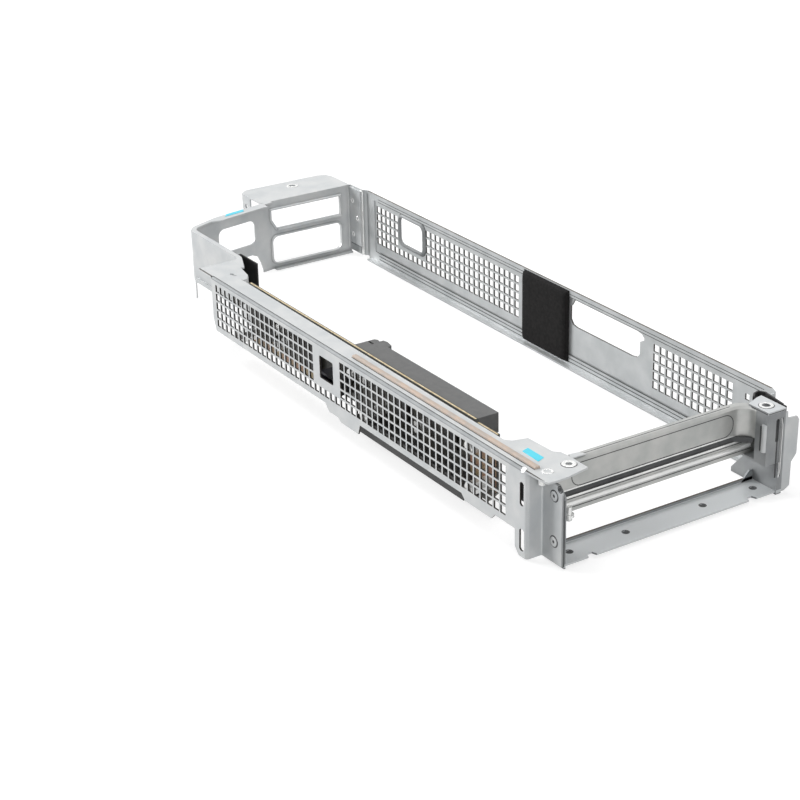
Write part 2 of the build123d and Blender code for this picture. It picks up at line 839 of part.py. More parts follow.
save(boss_insert, "boss_insert")
save(stud, "card_stud")
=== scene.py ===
# %% [markdown]
# # A riser cage for expansion cards
# The object is a long, flat frame folded from zinc-coated steel sheet. One side wall holds an
# upright circuit board, and cards plug into that board and lie flat in the cage. This lesson
# dresses the solid model: it keeps every solid where it is, gives each a finish, and adds the
# small folds, rims, beads and fasteners that a press and a riveter leave in real sheet metal.

import json
import math

import bmesh
import bpy
import numpy as np
from mathutils import Matrix, Vector


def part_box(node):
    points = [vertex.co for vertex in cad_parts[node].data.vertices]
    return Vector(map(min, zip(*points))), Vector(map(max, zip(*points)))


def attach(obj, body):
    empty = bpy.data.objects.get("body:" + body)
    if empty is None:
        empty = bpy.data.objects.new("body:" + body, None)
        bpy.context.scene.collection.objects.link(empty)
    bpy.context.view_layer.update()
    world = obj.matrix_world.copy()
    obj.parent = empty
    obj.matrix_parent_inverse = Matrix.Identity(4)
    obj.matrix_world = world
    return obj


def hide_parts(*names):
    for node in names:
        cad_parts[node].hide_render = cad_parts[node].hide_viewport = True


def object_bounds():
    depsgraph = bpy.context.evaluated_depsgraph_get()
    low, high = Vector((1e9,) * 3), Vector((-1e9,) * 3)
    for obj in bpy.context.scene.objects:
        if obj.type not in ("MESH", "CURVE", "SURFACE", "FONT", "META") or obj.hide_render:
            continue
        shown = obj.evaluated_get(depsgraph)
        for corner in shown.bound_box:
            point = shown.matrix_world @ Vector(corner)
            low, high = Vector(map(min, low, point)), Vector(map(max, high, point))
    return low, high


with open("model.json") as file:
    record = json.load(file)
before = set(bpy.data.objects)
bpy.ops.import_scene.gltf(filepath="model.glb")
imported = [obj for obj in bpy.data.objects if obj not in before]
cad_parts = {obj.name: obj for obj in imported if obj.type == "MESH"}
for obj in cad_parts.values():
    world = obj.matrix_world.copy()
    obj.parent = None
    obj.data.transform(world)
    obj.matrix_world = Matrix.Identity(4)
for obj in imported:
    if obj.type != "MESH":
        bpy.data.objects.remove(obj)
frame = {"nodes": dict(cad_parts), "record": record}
cad_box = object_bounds()
nodes = frame["nodes"]
cad_box_mm = [round(float(v) * 1000, 1) for v in np.ravel(cad_box)]
print("solid model:", len(nodes), "nodes, box", cad_box_mm)

# %% [markdown]
# ## Places to measure from
# Blender counts in metres, but sheet metal is drawn in millimetres, so a millimetre has its own
# name here. The drawing starts where the maker would start it: at the rear window frame's plane,
# the near wall's outer face and the base. The plane and the face are found from the corners of
# two solids, so the small pieces stay with the cage. Their places are millimetres in that drawing,
# measured on the photograph with the solved camera where the solids don't give them.

# %% Corners of the solids and the drawing's origin
mm = 0.001
lo = {name: np.array(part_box(name)[0]) for name in nodes}
rear_shelf = 24.7 * mm
origin = np.array([lo["rear_bracket"][0] + rear_shelf, lo["riser_side_panel"][1], 0.0])
x_axis, y_axis, z_axis = np.eye(3)
print("drawing origin:", origin.round(4))


# %% Places on the drawing
def drawn(points):
    """Places in the row frame: the origin plus millimetres along x, y and z."""
    return origin + np.asarray(points, float) * mm


def on_plane(axis, value, pairs):
    """Pairs of numbers as places on the plane where that axis has one value."""
    return np.insert(np.asarray(pairs, float), axis, value, axis=1)


print("one millimetre along x:", (drawn([(1, 0, 0)]) - drawn([(0, 0, 0)]))[0])

# %% [markdown]
# ## Writing a surface with arrays
# A shape is worked out as a whole array of points and given to Blender in one call. Four small
# builders cover this object: a profile carried along a path for rims, beads and ribbons, a lathe
# for round fasteners, a flat outline pulled straight for plates, and a box between two corners.
# Modifiers could bevel and solidify plain shapes instead, but a carried profile gives the exact
# section that a fold has. Each new mesh rides with the cage and names its finish.

# %% The mesh writer
smooth_below = math.radians(35)
made = {}


def write_piece(name, shape, finish, smooth=True, stands_for=()):
    """Put points and faces into a mesh that rides with the cage, with its faces turned outwards."""
    points, faces = shape
    mesh = bpy.data.meshes.new(name)
    mesh.from_pydata(np.asarray(points, float).tolist(), [], [tuple(map(int, f)) for f in faces])
    shell = bmesh.new()
    shell.from_mesh(mesh)
    bmesh.ops.recalc_face_normals(shell, faces=shell.faces)
    shell.to_mesh(mesh)
    shell.free()
    mesh.polygons.foreach_set("use_smooth", [smooth] * len(mesh.polygons))
    if smooth:
        mesh.set_sharp_from_angle(angle=smooth_below)
    mesh.materials.append(materials[finish])
    piece = bpy.data.objects.new(name, mesh)
    bpy.context.scene.collection.objects.link(piece)
    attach(piece, "root")
    if stands_for:
        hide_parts(*stands_for)
    made[name] = len(mesh.polygons)
    return piece


print("faces are smoothed below", round(math.degrees(smooth_below)), "degrees")


# %% Faces of a grid, and several shapes as one
def join(parts):
    """Several (points, faces) pairs as one pair, with the face numbers moved on."""
    points, faces, start = [], [], 0
    for some_points, some_faces in parts:
        points.append(np.asarray(some_points, float))
        faces += [tuple(int(i) + start for i in face) for face in some_faces]
        start += len(some_points)
    return np.concatenate(points), faces


def grid_faces(rows, columns, close_rows=False, close_columns=False):
    """Quads of a rows by columns grid of points: point (i, j) has the number i * columns + j."""
    i = np.arange(rows if close_rows else rows - 1)
    j = np.arange(columns if close_columns else columns - 1)
    i, j = (a.ravel() for a in np.meshgrid(i, j, indexing="ij"))
    i2, j2 = (i + 1) % rows, (j + 1) % columns
    quads = np.stack([i * columns + j, i2 * columns + j, i2 * columns + j2, i * columns + j2], 1)
    return [tuple(quad) for quad in quads]


print("a grid of 3 by 4 points has", len(grid_faces(3, 4)), "faces")


# %% A profile carried along a path
def carry(path, profile, normal, closed=False):
    """Point (i, j) = path i + profile j's first number times the side + its second times normal.

    The side vector is the normal crossed with the path's direction. At a corner it is the sum of
    both sides over one plus the cosine of the turn, so that a ribbon keeps its width there."""
    path = np.asarray(path, float)
    normal = np.asarray(normal, float) / np.linalg.norm(normal)
    run = (np.roll(path, -1, 0) - path) if closed else np.diff(path, axis=0)
    side = np.cross(normal, run)
    side /= np.linalg.norm(side, axis=1, keepdims=True)
    before = np.roll(side, 1, 0) if closed else np.concatenate([side[:1], side])
    after = side if closed else np.concatenate([side, side[-1:]])
    mitre = (before + after) / (1 + np.sum(before * after, 1, keepdims=True))
    profile = np.asarray(profile, float)
    points = path[:, None] + profile[None, :, :1] * mitre[:, None] + profile[None, :, 1:] * normal
    n, m = points.shape[:2]
    faces = grid_faces(n, m, close_rows=closed, close_columns=True)
    if not closed:
        faces += [tuple(range(m)), tuple(range((n - 1) * m, n * m))]
    return points.reshape(-1, 3), faces


plain_bar = carry([(0, 0, 0), (1, 0, 0)], [(-1, 0), (1, 0), (1, 1), (-1, 1)], z_axis)
print("a straight bar has", len(plain_bar[1]), "faces")


# %% Profiles that come back again and again
sunk = 0.05


def flat_bar(low_side, high_side, bottom, height):
    """Rectangular profile in metres from four limits in millimetres: side first, then normal."""
    corners = [(low_side, bottom), (high_side, bottom), (high_side, height), (low_side, height)]
    return np.array(corners) * mm


def seam(points, width, normal, height=0.04, closed=False):
    """Flat ribbon, its width and height in millimetres, along drawn points that lie on a face."""
    return carry(drawn(points), flat_bar(-width / 2, width / 2, -sunk, height), normal, closed)


def bead(points, radius, normal, steps=8):
    """Half-round ridge: a half circle, profile (r cos a, r sin a), carried along drawn points."""
    a = np.linspace(0, math.pi, steps + 1)
    return carry(drawn(points), np.stack([np.cos(a), np.sin(a)], 1) * radius * mm, normal)


def rounded_outline(u0, u1, v0, v1, radius, steps=6):
    """Rectangle with quarter-circle corners: a corner's centre plus radius times (cos a, sin a)."""
    a = np.arange(steps + 1) * math.pi / 2 / steps
    centres = [(u1 - radius, v1 - radius), (u0 + radius, v1 - radius)]
    centres += [(u0 + radius, v0 + radius), (u1 - radius, v0 + radius)]
    a = a[None] + np.arange(4)[:, None] * math.pi / 2
    corners = np.array(centres)[:, None] + radius * np.stack([np.cos(a), np.sin(a)], 2)
    return corners.reshape(-1, 2)


print("ribbons are sunk by", sunk, "mm so that no gap shows under them")


# %% Turned pieces
def turned(profile, centre, axis, sides=28, hollow=False):
    """Point (i, j): profile i's height along the axis, its radius at angle 2 pi j / sides."""
    profile = np.asarray(profile, float) * mm
    other = z_axis if abs(axis[2]) < 0.9 else x_axis
    axis = np.asarray(axis, float) / np.linalg.norm(axis)
    u = np.cross(other, axis)
    u /= np.linalg.norm(u)
    v = np.cross(axis, u)
    a = np.arange(sides) * 2 * math.pi / sides
    circle = np.cos(a)[:, None] * u + np.sin(a)[:, None] * v
    points = drawn([centre]) + profile[:, None, 1:] * axis + profile[:, None, :1] * circle[None]
    n = len(profile)
    faces = grid_faces(n, sides, close_rows=hollow, close_columns=True)
    if not hollow:
        faces += [tuple(range(sides)), tuple(range((n - 1) * sides, n * sides))]
    return points.reshape(-1, 3), faces


def ring(centre, axis, inner, outer, height):
    """Low ring with a crowned top: its profile is highest halfway between its two radii."""
    edge, middle = height * 0.6, (inner + outer) / 2
    profile = [(inner, -sunk), (outer, -sunk), (outer, edge), (middle, height), (inner, edge)]
    return turned(profile, centre, axis, hollow=True)


def disc(centre, axis, radius, top, bottom):
    """Flat round plug between two heights along its axis."""
    return turned([(0, top), (radius, top), (radius, bottom), (0, bottom)], centre, axis)


print("a ring has", len(ring((0, 0, 0), z_axis, 1.0, 2.0, 0.1)[1]), "faces")


# %% Pulled outlines and boxes
def prism(outline, axis, start, end):
    """A flat outline in millimetres pulled along one axis from start to end."""
    n = len(outline)
    points = np.concatenate([on_plane(axis, start, outline), on_plane(axis, end, outline)])
    faces = [(i, (i + 1) % n, n + (i + 1) % n, n + i) for i in range(n)]
    return drawn(points), faces + [tuple(range(n)), tuple(range(n, 2 * n))]


def rectangle(u0, u1, v0, v1):
    """Four corners of a rectangle, in order round it."""
    return [(u0, v0), (u1, v0), (u1, v1), (u0, v1)]


def brick(low, high):
    """Box between two drawn corners, as a prism of its footprint."""
    return prism(rectangle(low[0], high[0], low[1], high[1]), 2, low[2], high[2])


print("a box has", len(brick((0, 0, 0), (1, 1, 1))[1]), "faces")

# %% [markdown]
# ## Finishes
# Zinc-coated sheet is a metal with a soft, even gloss: it mirrors only broad light and dark. Real
# sheet is never quite uniform, so a faint cloudiness in the colour and a fine grain in the gloss
# keep it from looking like paint. A photographed texture would stretch on the folds. Noise that
# reads Object coordinates has no such trouble, and its marks stay where they are from every side.

# %% A material and its parts
materials = {}


def new_material(name, color, roughness, metallic=0.0, specular=0.5):
    """A plain finish on the shader's own sockets, given back as its node tree and shader."""
    material = bpy.data.materials.new(name)
    material.use_nodes = True
    shader = material.node_tree.nodes["Principled BSDF"]
    shader.inputs["Base Color"].default_value = (*color, 1.0)
    shader.inputs["Roughness"].default_value = roughness
    shader.inputs["Metallic"].default_value = metallic
    shader.inputs["Specular IOR Level"].default_value = specular
    materials[name] = material
    return material.node_tree, shader


def object_noise(tree, scale, detail):
    """Noise that reads the object's own coordinates: scale is its patches per metre."""
    coordinates = tree.nodes.new("ShaderNodeTexCoord")
    noise = tree.nodes.new("ShaderNodeTexNoise")
    noise.inputs["Scale"].default_value = scale
    noise.inputs["Detail"].default_value = detail
    tree.links.new(coordinates.outputs["Object"], noise.inputs["Vector"])
    return noise.outputs["Fac"]


def cloud_color(tree, shader, first, second, scale, detail=3.0):
    """Colour that drifts between two tones, as the noise goes from 0.35 to 0.65."""
    ramp = tree.nodes.new("ShaderNodeValToRGB")
    for stop, position, tone in zip(ramp.color_ramp.elements, (0.35, 0.65), (first, second)):
        stop.position = position
        stop.color = (*tone, 1.0)
    tree.links.new(object_noise(tree, scale, detail), ramp.inputs["Fac"])
    tree.links.new(ramp.outputs["Color"], shader.inputs["Base Color"])


def fine_bump(tree, shader, scale, strength, distance, detail=4.0):
    """A fine grain: noise as a height, a distance in metres deep, that tilts the surface."""
    bump = tree.nodes.new("ShaderNodeBump")
    bump.inputs["Strength"].default_value = strength
    bump.inputs["Distance"].default_value = distance
    tree.links.new(object_noise(tree, scale, detail), bump.inputs["Height"])
    tree.links.new(bump.outputs["Normal"], shader.inputs["Normal"])


print("material helpers ready")


# %% Painted shade in the corners
def paint_corner_shade(tree, shader, reach, least):
    """Painted shade: scale the colour down to its least share where surfaces crowd within a reach.
    """
    near = tree.nodes.new("ShaderNodeAmbientOcclusion")
    near.samples = 8
    near.inputs["Distance"].default_value = reach
    shade = tree.nodes.new("ShaderNodeMapRange")
    shade.inputs["To Min"].default_value = least
    shade.inputs["To Max"].default_value = 1.0
    product = tree.nodes.new("ShaderNodeVectorMath")
    product.operation = "SCALE"
    source = shader.inputs["Base Color"].links[0].from_socket
    tree.links.new(near.outputs["AO"], shade.inputs["Value"])
    tree.links.new(source, product.inputs[0])
    tree.links.new(shade.outputs["Result"], product.inputs["Scale"])
    tree.links.new(product.outputs["Vector"], shader.inputs["Base Color"])


corner_shade_reach = 2.5 * mm
print("painted_shade reaches", corner_shade_reach, "m out of a corner")


# %% Another tone on faces that are turned one way
most_turned = 0.35


def math_node(tree, operation, first, second=None):
    """One step of arithmetic. The second value may be a socket, a number or nothing."""
    step = tree.nodes.new("ShaderNodeMath")
    step.operation = operation
    tree.links.new(first, step.inputs[0])
    if isinstance(second, float):
        step.inputs[1].default_value = second
    elif second is not None:
        tree.links.new(second, step.inputs[1])
    return step.outputs["Value"]


def tone_faces(tree, shader, color, low, high):
    """Give a colour to faces that look along x or z, inside a box of places.

    The size of such a face's normal along y is below a limit. A wall's punched edges are turned
    so, and so are the level and the forward faces of the front frame. Every test is one or
    nought, and their product picks between the finish's own colour and the new one."""
    shape = tree.nodes.new("ShaderNodeNewGeometry")
    turn = tree.nodes.new("ShaderNodeSeparateXYZ")
    tree.links.new(shape.outputs["True Normal"], turn.inputs["Vector"])
    value = math_node(tree, "ABSOLUTE", turn.outputs["Y"])
    value = math_node(tree, "LESS_THAN", value, most_turned)
    coordinates = tree.nodes.new("ShaderNodeTexCoord")
    place = tree.nodes.new("ShaderNodeSeparateXYZ")
    tree.links.new(coordinates.outputs["Object"], place.inputs["Vector"])
    for axis, bottom, ceiling in zip("XYZ", low, high):
        for limit, operation in ((bottom, "GREATER_THAN"), (ceiling, "LESS_THAN")):
            inside = math_node(tree, operation, place.outputs[axis], float(limit))
            value = math_node(tree, "MULTIPLY", value, inside)
    mix = tree.nodes.new("ShaderNodeMix")
    mix.data_type = "RGBA"
    ends = {s.name: s for s in mix.inputs if s.type == "RGBA"}
    mixed = [s for s in mix.outputs if s.type == "RGBA"][0]
    ends["B"].default_value = (*color, 1.0)
    source = shader.inputs["Base Color"].links[0].from_socket
    tree.links.new(value, mix.inputs["Factor"])
    tree.links.new(source, ends["A"])
    tree.links.new(mixed, shader.inputs["Base Color"])


far_away = 1.0
print("a normal's y part is at most", most_turned, "and places reach out to", far_away, "m")

# %% [markdown]
# ## The cage's steel
# All the sheet is one metal, but its faces differ: the crossbar is brushed, and a punch leaves its
# cut edges bare and dark. The front frame's darker tone is painted shade, and so are the darker
# tones of the near wall's rougher fold skin, of the opening rim and of the seam lines. The bright
# tone is partly bright plated steel, partly painted highlight. Each is the same recipe with other
# tones, so they stand in one table.

# %% Zinc finishes
steel_tones = ((0.52, 0.54, 0.55), (0.61, 0.62, 0.62))
steels = {
    "galvanised_steel": (*steel_tones, 0.36, 0.25),
    "punched_near_sheet": (*steel_tones, 0.36, 0.25),
    "punched_far_sheet": ((0.46, 0.48, 0.485), (0.55, 0.565, 0.57), 0.36, 0.25),
    # Painted shade: the front frame's darker tone shades its recessed flange and step face.
    "frame_steel": ((0.25, 0.26, 0.268), (0.32, 0.33, 0.335), 0.4, 0.25),
    # Painted shade: a darker, rougher skin over the near wall's fold highlight.
    "rolled_fold": ((0.25, 0.262, 0.268), (0.31, 0.322, 0.327), 0.6, 0.1),
    # Painted shade: a darker tone for the far wall's opening rim.
    "rim_steel": ((0.22, 0.23, 0.235), (0.30, 0.31, 0.315), 0.5, 0.2),
    "brushed_bar": ((0.40, 0.41, 0.40), (0.50, 0.50, 0.485), 0.34, 0.6),
    # Bright plated steel for pins, studs, springs, rivets and rings, and painted highlight on the
    # rear step's strip and the crossbar's lip and bead.
    "bright_steel": ((0.80, 0.81, 0.80), (0.88, 0.88, 0.87), 0.25, 0.5),
    "dark_steel": ((0.16, 0.175, 0.185), (0.24, 0.255, 0.26), 0.4, 0.4),
    "cut_edge": ((0.075, 0.062, 0.05), (0.11, 0.095, 0.08), 0.6, 0.3),
    "seam_shadow": ((0.05, 0.052, 0.054), (0.09, 0.092, 0.094), 0.6, 0.1),
}
parts_of = {}
for name, (first, second, roughness, metallic) in steels.items():
    parts_of[name] = new_material(name, first, roughness, metallic, specular=0.35)
    cloud_color(*parts_of[name], first, second, scale=95.0, detail=6.0)
    fine_bump(*parts_of[name], scale=1500.0, strength=0.22, distance=0.06 * mm)
print("steel finishes:", len(steels))

# %% Painted shade in corners, bare cut edges partly darkened as painted shade, and painted light on the frame's top and sill faces
# Painted shade: the colour is darkened where surfaces crowd into corners.
paint_corner_shade(*parts_of["galvanised_steel"], corner_shade_reach, 0.45)
paint_corner_shade(*parts_of["frame_steel"], corner_shade_reach, 0.45)
paint_corner_shade(*parts_of["brushed_bar"], corner_shade_reach, 0.4)
# Near-black on the punched walls' cut edges: partly bare steel, partly painted shade inside the
# holes.
bare_cut_and_shade = (0.055, 0.05, 0.045)
wall_inner = lo["riser_side_panel"][1] + 0.85 * mm
near_limits = (lo["riser_side_panel"] - mm, (far_away, wall_inner, far_away))
far_limits = ((-0.14, -far_away, 1.0 * mm), (0.169, far_away, far_away))
lit_top_limits = ((-far_away, -far_away, 36.9 * mm), (far_away, far_away, far_away))
lit_sill_limits = ((-far_away, -far_away, 0.5 * mm), (far_away, far_away, 1.9 * mm))
tone_faces(*parts_of["punched_near_sheet"], bare_cut_and_shade, *near_limits)
tone_faces(*parts_of["punched_far_sheet"], bare_cut_and_shade, *far_limits)
# Lighter tones on the frame's top faces and sill: painted light on its darker copy of the steel.
tone_faces(*parts_of["frame_steel"], (0.56, 0.58, 0.59), *lit_top_limits)
tone_faces(*parts_of["frame_steel"], (0.60, 0.62, 0.63), *lit_sill_limits)
print("near wall's cuts are bare out to y =", round(float(wall_inner), 5))

# %% [markdown]
# ## Board, plastics, foams and film
# The board is a dark laminate, moulded plastic has a faint cloud in its colour and a fine spark
# erosion grain, and foam is rough and nearly without gloss. Again one table holds them: a mean
# tone, the two tones it drifts between, how many patches they make in a metre, and a roughness.

# %% The other finishes
others = {
    "board": ((0.02, 0.02, 0.014), (0.013, 0.014, 0.010), (0.035, 0.033, 0.022), 220.0, 0.42),
    "board_edge": ((0.62, 0.50, 0.30), (0.50, 0.38, 0.20), (0.72, 0.62, 0.42), 900.0, 0.55),
    "copper_edge": ((0.42, 0.25, 0.17), (0.45, 0.24, 0.17), (0.38, 0.30, 0.17), 160.0, 0.5),
    "dark_plastic": (
        (0.085, 0.086, 0.085), (0.078, 0.079, 0.079), (0.094, 0.095, 0.094), 400.0, 0.48
    ),
    "black_plastic": ((0.012,) * 3, (0.009,) * 3, (0.016,) * 3, 300.0, 0.5),
    "red_plastic": ((0.02, 0.021, 0.026), (0.016, 0.017, 0.022), (0.03, 0.031, 0.038), 260.0, 0.35),
    "white_plastic": ((0.80, 0.81, 0.80), (0.77, 0.78, 0.77), (0.83, 0.84, 0.83), 300.0, 0.4),
    "gold": ((0.75, 0.55, 0.22), (0.72, 0.52, 0.20), (0.78, 0.58, 0.25), 500.0, 0.3),
    "tan_ceramic": ((0.48, 0.34, 0.18), (0.44, 0.31, 0.16), (0.52, 0.37, 0.20), 500.0, 0.5),
    "black_foam": ((0.010,) * 3, (0.007,) * 3, (0.014, 0.013, 0.013), 700.0, 0.9),
    "tan_gasket": ((0.50, 0.42, 0.36), (0.56, 0.45, 0.37), (0.46, 0.41, 0.37), 260.0, 0.85),
    "cyan_film": ((0.06, 0.60, 0.76), (0.055, 0.58, 0.75), (0.075, 0.63, 0.78), 200.0, 0.35),
}
metallic_of = {"gold": 1.0}
specular_of = {"black_foam": 0.15, "tan_gasket": 0.25}
grains = {
    "dark_plastic": (3500.0, 0.25, 0.03 * mm),
    "black_plastic": (3000.0, 0.2, 0.03 * mm),
    "black_foam": (1400.0, 0.6, 0.12 * mm),
    "tan_gasket": (2200.0, 0.5, 0.1 * mm),
}
for name, (mean, first, second, patches, roughness) in others.items():
    parts_of[name] = new_material(
        name, mean, roughness, metallic_of.get(name, 0.0), specular_of.get(name, 0.5)
    )
    cloud_color(*parts_of[name], first, second, patches)
    if name in grains:
        fine_bump(*parts_of[name], *grains[name])
print("finishes:", ", ".join(materials))

# %% Give every solid its finish
slot_of = {row["node"]: row["material_slot"] for row in frame["record"]["subparts"]}
special = {
    "riser_side_panel": "punched_near_sheet",
    "far_side_panel": "punched_far_sheet",
    "front_crossbar": "brushed_bar",
    "front_frame": "frame_steel",
    "slot_connector_lower": "black_plastic",
    "locating_peg": "bright_steel",
    "card_stud": "bright_steel",
}
for name, node in nodes.items():
    node.data.materials.clear()
    node.data.materials.append(materials[special.get(name, slot_of[name])])
print("finished solids:", len(slot_of))

# %% [markdown]
# ## Painted shade along folds and seams
# Along a fold, shade falls in a fine dark line, and a pressed field is ringed by one; here that
# shade is painted. It could be painted in a texture, but then it would fade from the side, so each
# line is a near-black ribbon a few hundredths of a millimetre high, carried along its line on the
# sheet. The near wall's top fold gets a thin, rougher skin whose darker tone is painted shade.

# %% Main places on the drawing, in millimetres
sheet = 0.8
bend_x = 336.5
mouth_x = 349.3
rear_x = 82.3
top_z = 38.0
under_z = top_z - sheet
cheek_y = 8.1
post_y = 108.0
post_out = 117.5
sill_top = 1.6
gasket_start = 205.5
print("mouth at", drawn([(mouth_x, 0, 0)]).round(4)[0])

# %% A darker skin on the near wall's fold: painted shade over its highlight
fold_radius = 1.2
fold_z = top_z - fold_radius
a = np.linspace(math.pi, math.pi / 2, 9)
arc = np.stack([np.cos(a), np.sin(a)], 1)
skin = np.concatenate([(fold_radius + 0.03) * arc, (fold_radius - 0.2) * arc[::-1]]) * mm
fold_path = drawn([(rear_x + 0.2, fold_radius, fold_z), (bend_x - 3.0, fold_radius, fold_z)])
write_piece("fold_shade_skin", carry(fold_path, skin, z_axis), "rolled_fold")
print("fold skin radius:", fold_radius + 0.03, "mm")

# %% Painted shade lines on the folds and seams of the near wall, the mouth and the crossbar
fine, medium, broad = 0.3, 0.35, 0.4
plate_x = bend_x - 1.9
cheek_line = cheek_y + 0.05
line_rows = [
    ((rear_x, 1.05, top_z), (bend_x - 1.4, 1.05, top_z), broad, z_axis),
    ((gasket_start, 3.45, top_z), (bend_x + 0.3, 3.45, top_z), broad, z_axis),
    ((plate_x, 24.0, under_z), (plate_x, 101.0, under_z), medium, z_axis),
    ((mouth_x, cheek_line, 1.0), (mouth_x, cheek_line, 29.0), fine, x_axis),
    ((mouth_x, post_y + 0.3, under_z), (mouth_x, post_out - 0.3, under_z), medium, x_axis),
    ((bend_x + 3.0, post_y, under_z), (mouth_x - 0.3, post_y, under_z), medium, -y_axis),
    ((bend_x, 10.0, 20.7), (bend_x, 112.0, 20.7), medium, x_axis),
    ((bend_x, 10.0, 16.9), (bend_x, 112.0, 16.9), medium, x_axis),
]
lines = [seam([start, end], width, normal) for start, end, width, normal in line_rows]
field = rounded_outline(21.0, 101.6, 25.3, 34.9, 4.4)
lines.append(seam(on_plane(0, bend_x, field), medium, x_axis, closed=True))
write_piece("fold_shade_lines", join(lines), "seam_shadow", smooth=False)
print("lines:", len(lines))

# %% [markdown]
# ## The far wall
# The far wall leans in a little towards the front, so its lines and rims are drawn on a straight
# wall and then turned with it. The opening near its rear end has a bent rim that stiffens it:
# a sloping collar, high at the opening and low outside, carried round the opening's outline.

# %% Turn drawn places with the leaning wall
far_inner = 126.7
lean = math.atan2(3.3, 319.5)
pivot = np.array([14.5, far_inner, 0.0])
wall_shift = (0.0, 2.0, 0.0)


def on_far(points):
    """Places turned by the wall's lean about its rear end, and moved out by two millimetres."""
    p = np.asarray(points, float) - pivot
    c, s = math.cos(-lean), math.sin(-lean)
    turned_points = np.stack([c * p[:, 0] - s * p[:, 1], s * p[:, 0] + c * p[:, 1], p[:, 2]], 1)
    return turned_points + pivot + wall_shift


inward = on_far([(0, -1, 0)])[0] - on_far([(0, 0, 0)])[0]
print("the wall's inner face looks along", inward.round(4))

# %% Rim of the opening
field_y = far_inner + 0.5
opening = on_far(on_plane(1, field_y, rounded_outline(47.2, 70.5, 17.8, 33.0, 3.5)))
outside = on_far(on_plane(1, field_y, rounded_outline(45.7, 72.0, 16.3, 34.5, 4.6)))
collar = np.array([(0.1, -0.7), (-1.5, -0.1), (-1.5, 0.25), (-0.5, 1.25), (0.1, 1.25)]) * mm
rim = carry(drawn(opening), collar, inward, closed=True)
# The rim's darker tone is painted shade.
write_piece("opening_rim", rim, "rim_steel")
print("rim faces:", made["opening_rim"])

# %% The far wall's lines: near-black ribbons of painted shade along its folds, steps and pressed field
wall_lines = [seam(outside, medium, inward, closed=True)]
for height, width in ((5.7, broad), (4.0, broad), (2.2, broad), (34.5, fine), (35.9, fine)):
    ends = on_far([(26.0, far_inner, height), (328.0, far_inner, height)])
    wall_lines.append(seam(ends, width, inward))
for x in (326.6, 328.6):
    ends = on_far([(x, far_inner, 6.0), (x, far_inner, 35.0)])
    wall_lines.append(seam(ends, 0.25, inward))
wall_lines.append(seam([(10.6, far_inner, 2.0), (10.6, far_inner, 37.0)], 0.5, -y_axis))
write_piece("far_wall_shade_lines", join(wall_lines), "seam_shadow", smooth=False)
print("far wall lines:", len(wall_lines))

# %% Bare cut edges, and a painted highlight on the wall's rear step
top_cut = on_far([(15.5, far_inner + 0.4, top_z), (332.0, far_inner + 0.4, top_z)])
sill_cut = [(335.2, 8.3, 3.0), (335.2, 114.5, 3.0)]
cut_lines = [seam(top_cut, 0.75, z_axis), seam(sill_cut, 0.8, z_axis)]
write_piece("cut_edges", join(cut_lines), "cut_edge", smooth=False)
# A bright strip stands for the highlight on the wall's S-bend at its rear step: painted highlight.
strip_y = far_inner + 0.15
strip_ends = drawn([(12.0, strip_y, 1.5), (12.0, strip_y, 37.6)])
step_highlight = carry(strip_ends, flat_bar(-1.6, 0.4, 0, 0.25), -y_axis)
write_piece("joggle_highlight", step_highlight, "bright_steel", smooth=False)
print("cut edges:", len(cut_lines))

# %% [markdown]
# ## Fasteners
# Clinch rivets show as a low ring with a dished middle, and screws as a ring round a dark hole.
# Each is a profile turned round an axis, the way a lathe would make it. A ready-made cylinder
# would have neither the dish nor the crowned ring.

# %% Rivets and the tabs they hold
head = [(0.0, 0.22), (0.75, 0.22), (1.05, 0.5), (1.6, 0.5), (2.0, 0.3), (2.05, -0.1), (0.0, -0.1)]
flange_face = cheek_y - sheet
rivet_places = [(bend_x + 7.4, flange_face, z) for z in (28.9, 9.7)]
near_rivets = [turned(head, place, -y_axis) for place in rivet_places]
write_piece(
    "flange_rivets", join(near_rivets), "galvanised_steel",
    stands_for=["front_rivets"],
)
tab_face = far_inner - 0.5
small_head = [(radius * 0.8, height) for radius, height in head]
frame_places = [(x, tab_face, z) for x, z in ((3.8, 30.1), (8.4, 21.0), (3.8, 11.1))]
frame_rivets = [turned(small_head, place, -y_axis) for place in frame_places]
write_piece(
    "frame_rivets", join(frame_rivets), "bright_steel",
    stands_for=["rear_rivets"],
)
tab_heights = ((25.0, 36.4), (5.2, 17.6))
tabs = [prism(rectangle(1.2, 9.6, *z), 1, tab_face, far_inner + 0.1) for z in tab_heights]
write_piece("frame_tabs", join(tabs), "dark_steel", smooth=False)
print("rivets:", len(near_rivets) + len(frame_rivets), "tabs:", len(tabs))

# %% Dark rings and holes
gauge_hole = (347.4, flange_face, 33.0)
plate_screw = (340.2, 16.7, top_z)
post_screw = (343.3, 112.4, top_z)
dots = [ring(place, -y_axis, 2.05, 2.5, 0.06) for place in rivet_places]
dots += [disc(place, -y_axis, 0.6, 0.26, 0.1) for place in rivet_places]
dots.append(disc(gauge_hole, -y_axis, 0.7, 0.06, -0.1))
dots.append(ring(gauge_hole, -y_axis, 1.2, 1.5, 0.06))
dots.append(ring(plate_screw, z_axis, 2.9, 3.2, 0.05))
dots.append(ring(post_screw, z_axis, 3.0, 3.3, 0.05))
for y in (16.3, 43.7, 82.7, 109.2):
    dots.append(disc((341.8, y, sill_top), z_axis, 1.16, -0.2, -0.6))
    dots.append(ring((341.8, y, sill_top), z_axis, 1.2, 1.65, 0.08))
write_piece("fastener_shadows", join(dots), "seam_shadow")
print("dark rings and holes:", len(dots))

